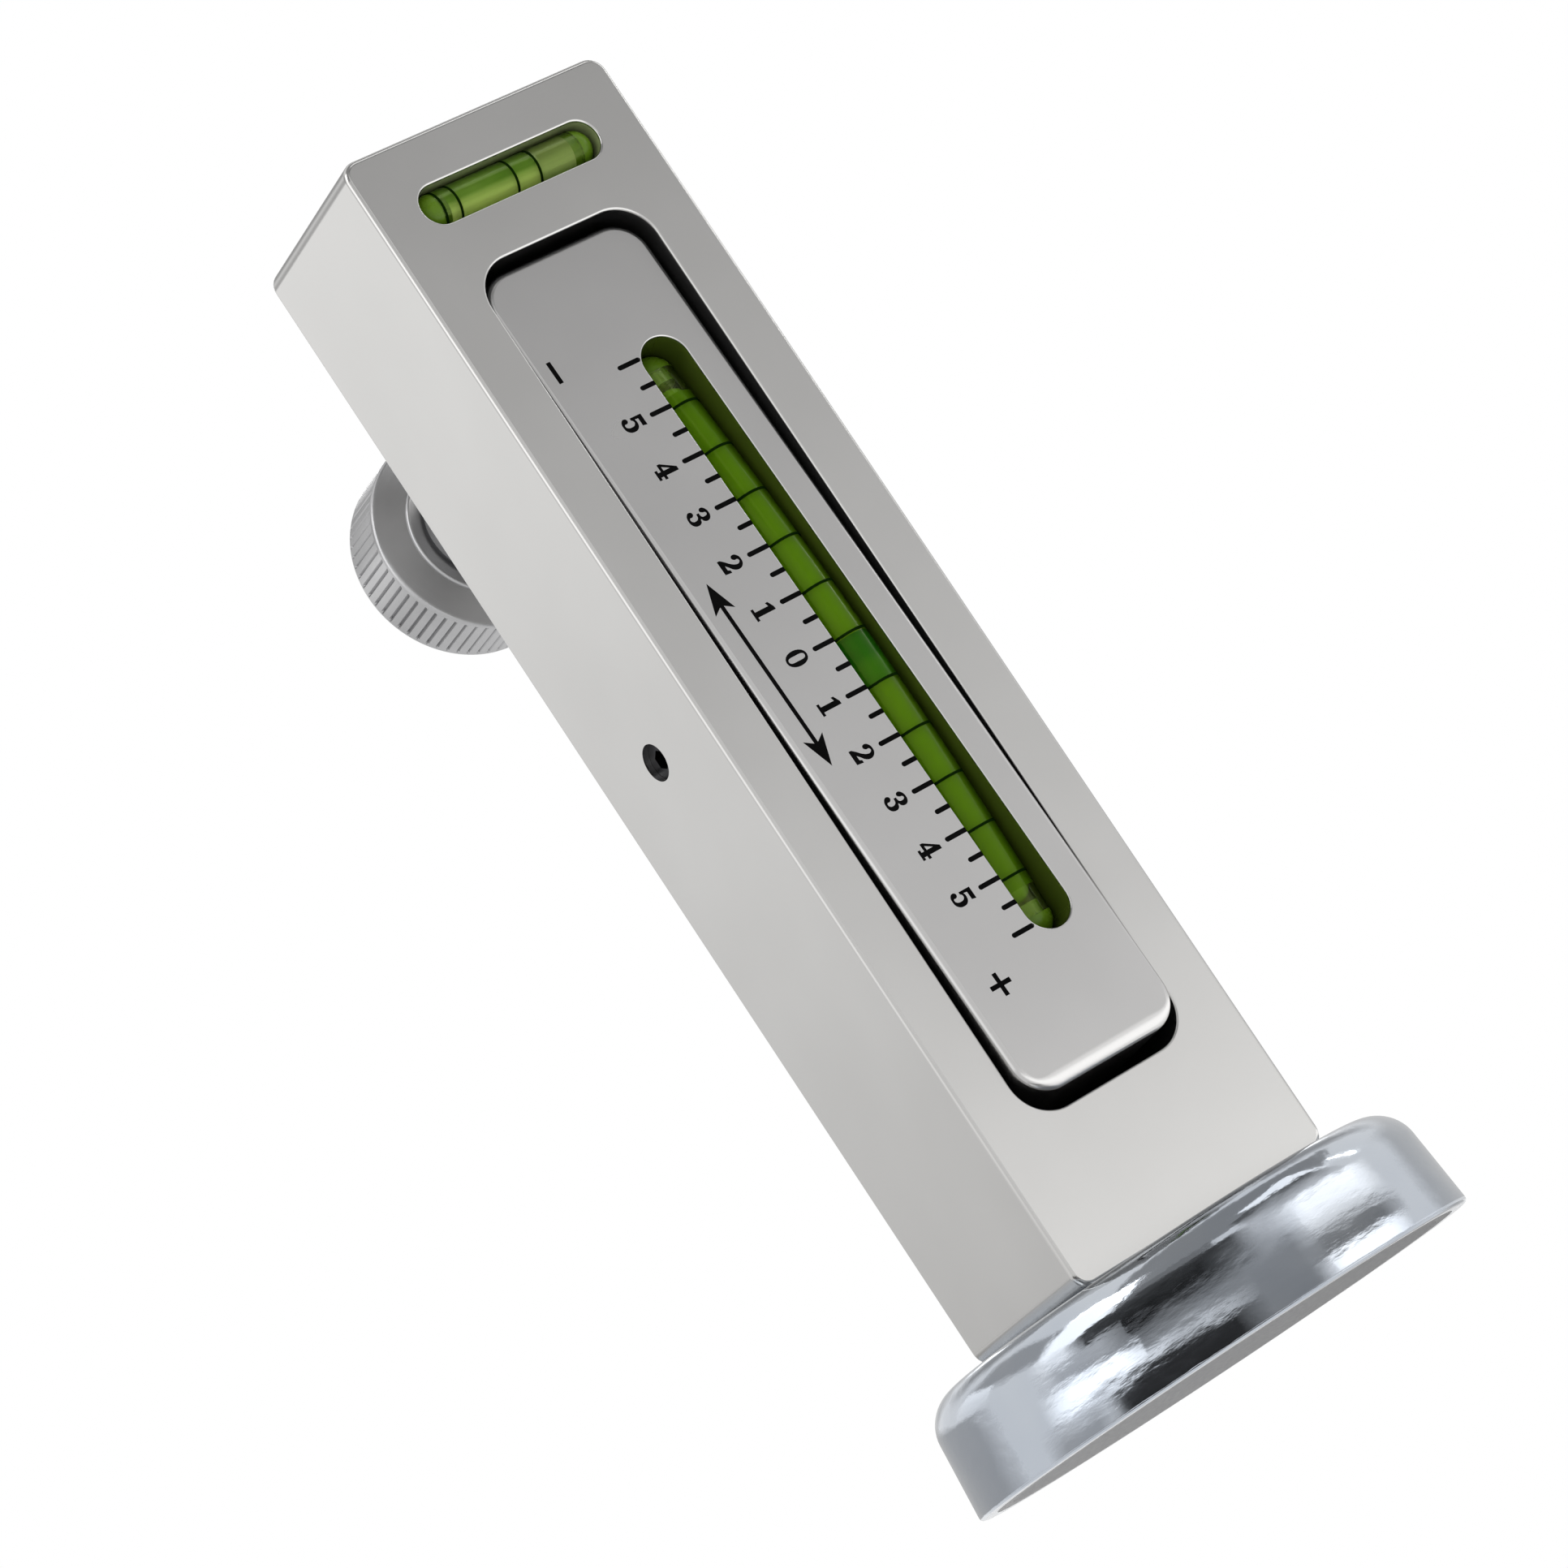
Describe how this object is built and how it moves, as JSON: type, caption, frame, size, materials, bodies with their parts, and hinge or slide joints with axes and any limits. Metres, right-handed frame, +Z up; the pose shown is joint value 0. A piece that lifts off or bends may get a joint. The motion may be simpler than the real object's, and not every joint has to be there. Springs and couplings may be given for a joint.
{
  "type": "camber caster gauge",
  "caption": "Magnet-based wheel alignment bar with a rocking vial scale block set by a rear thumb knob, and a cross level at its top end.",
  "frame": {"origin": "centre of the magnet's pulling face, at the foot of the bar", "axes": "+Z up the bar from the magnet, +X to the right seen from the scale face, +Y towards the adjusting knob; the scale face looks along -Y"},
  "size_m": [0.06, 0.0707, 0.152],
  "materials": {
    "satin_nickel": "fine satin plated bar",
    "plated_cup": "bright zinc plating with soft streaks",
    "ferrite": "ground ceramic magnet",
    "potting_resin": "black filled resin",
    "steel_bright": "turned steel",
    "steel_black": "black oxide",
    "bronze": "sintered bronze",
    "knob_metal": "turned and straight knurled",
    "vial_glass": "clear glass tinted by the fluid",
    "vial_plug": "green sealing plug",
    "vial_fluid": "green spirit",
    "vial_ring": "printed dark line",
    "vial_bed_light": "pale setting plaster",
    "vial_bed_dark": "dark setting plaster",
    "block_nickel": "satin plated scale block",
    "scale_paint": "black paint in the engraving"
  },
  "bodies": {
    "bar": {"housing": "satin_nickel", "magnet_cup": "plated_cup", "magnet_disc": "ferrite", "magnet_potting": "potting_resin", "magnet_stud": "steel_bright", "level_vial_tube": "vial_glass", "level_vial_plugs": "vial_plug", "level_vial_liquid": "vial_fluid", "level_vial_rings": "vial_ring", "level_vial_bed": "vial_bed_light", "pivot_pin": "steel_bright", "pivot_grub_screws": "steel_black", "adjuster_barrel": "knob_metal", "thrust_washer": "steel_bright", "adjuster_spring": "steel_bright"},
    "block": {"scale_block": "block_nickel", "pivot_bushes": "bronze", "scale_marks": "scale_paint", "main_vial_tube": "vial_glass", "main_vial_plugs": "vial_plug", "main_vial_liquid": "vial_fluid", "main_vial_rings": "vial_ring", "main_vial_bed": "vial_bed_dark"},
    "nut": {"trunnion_nut": "bronze"},
    "knob": {"knob": "knob_metal", "adjusting_stud": "steel_bright", "knob_grub_screw": "steel_black"}
  },
  "joints": [
    {"name": "knob_turn", "type": "hinge", "parent": "bar", "child": "knob", "pos_m": [0, 0.037, 0.12275], "axis": [0, 1, 0], "range_deg": [-620, 1860]},
    {"name": "block_tilt", "type": "hinge", "parent": "bar", "child": "block", "pos_m": [0, 0, 0.0833], "axis": [1, 0, 0], "range_deg": [-2, 6], "deforming": ["adjuster_spring"]},
    {"name": "nut_swivel", "type": "hinge", "parent": "block", "child": "nut", "pos_m": [0, 0.00144, 0.12277], "axis": [1, 0, 0], "range_deg": [-6, 2]}
  ],
  "couplings": [
    {"joint": "block_tilt", "follows": "knob_turn", "ratio": 0.0032234},
    {"joint": "nut_swivel", "follows": "knob_turn", "ratio": -0.0032234}
  ]
}
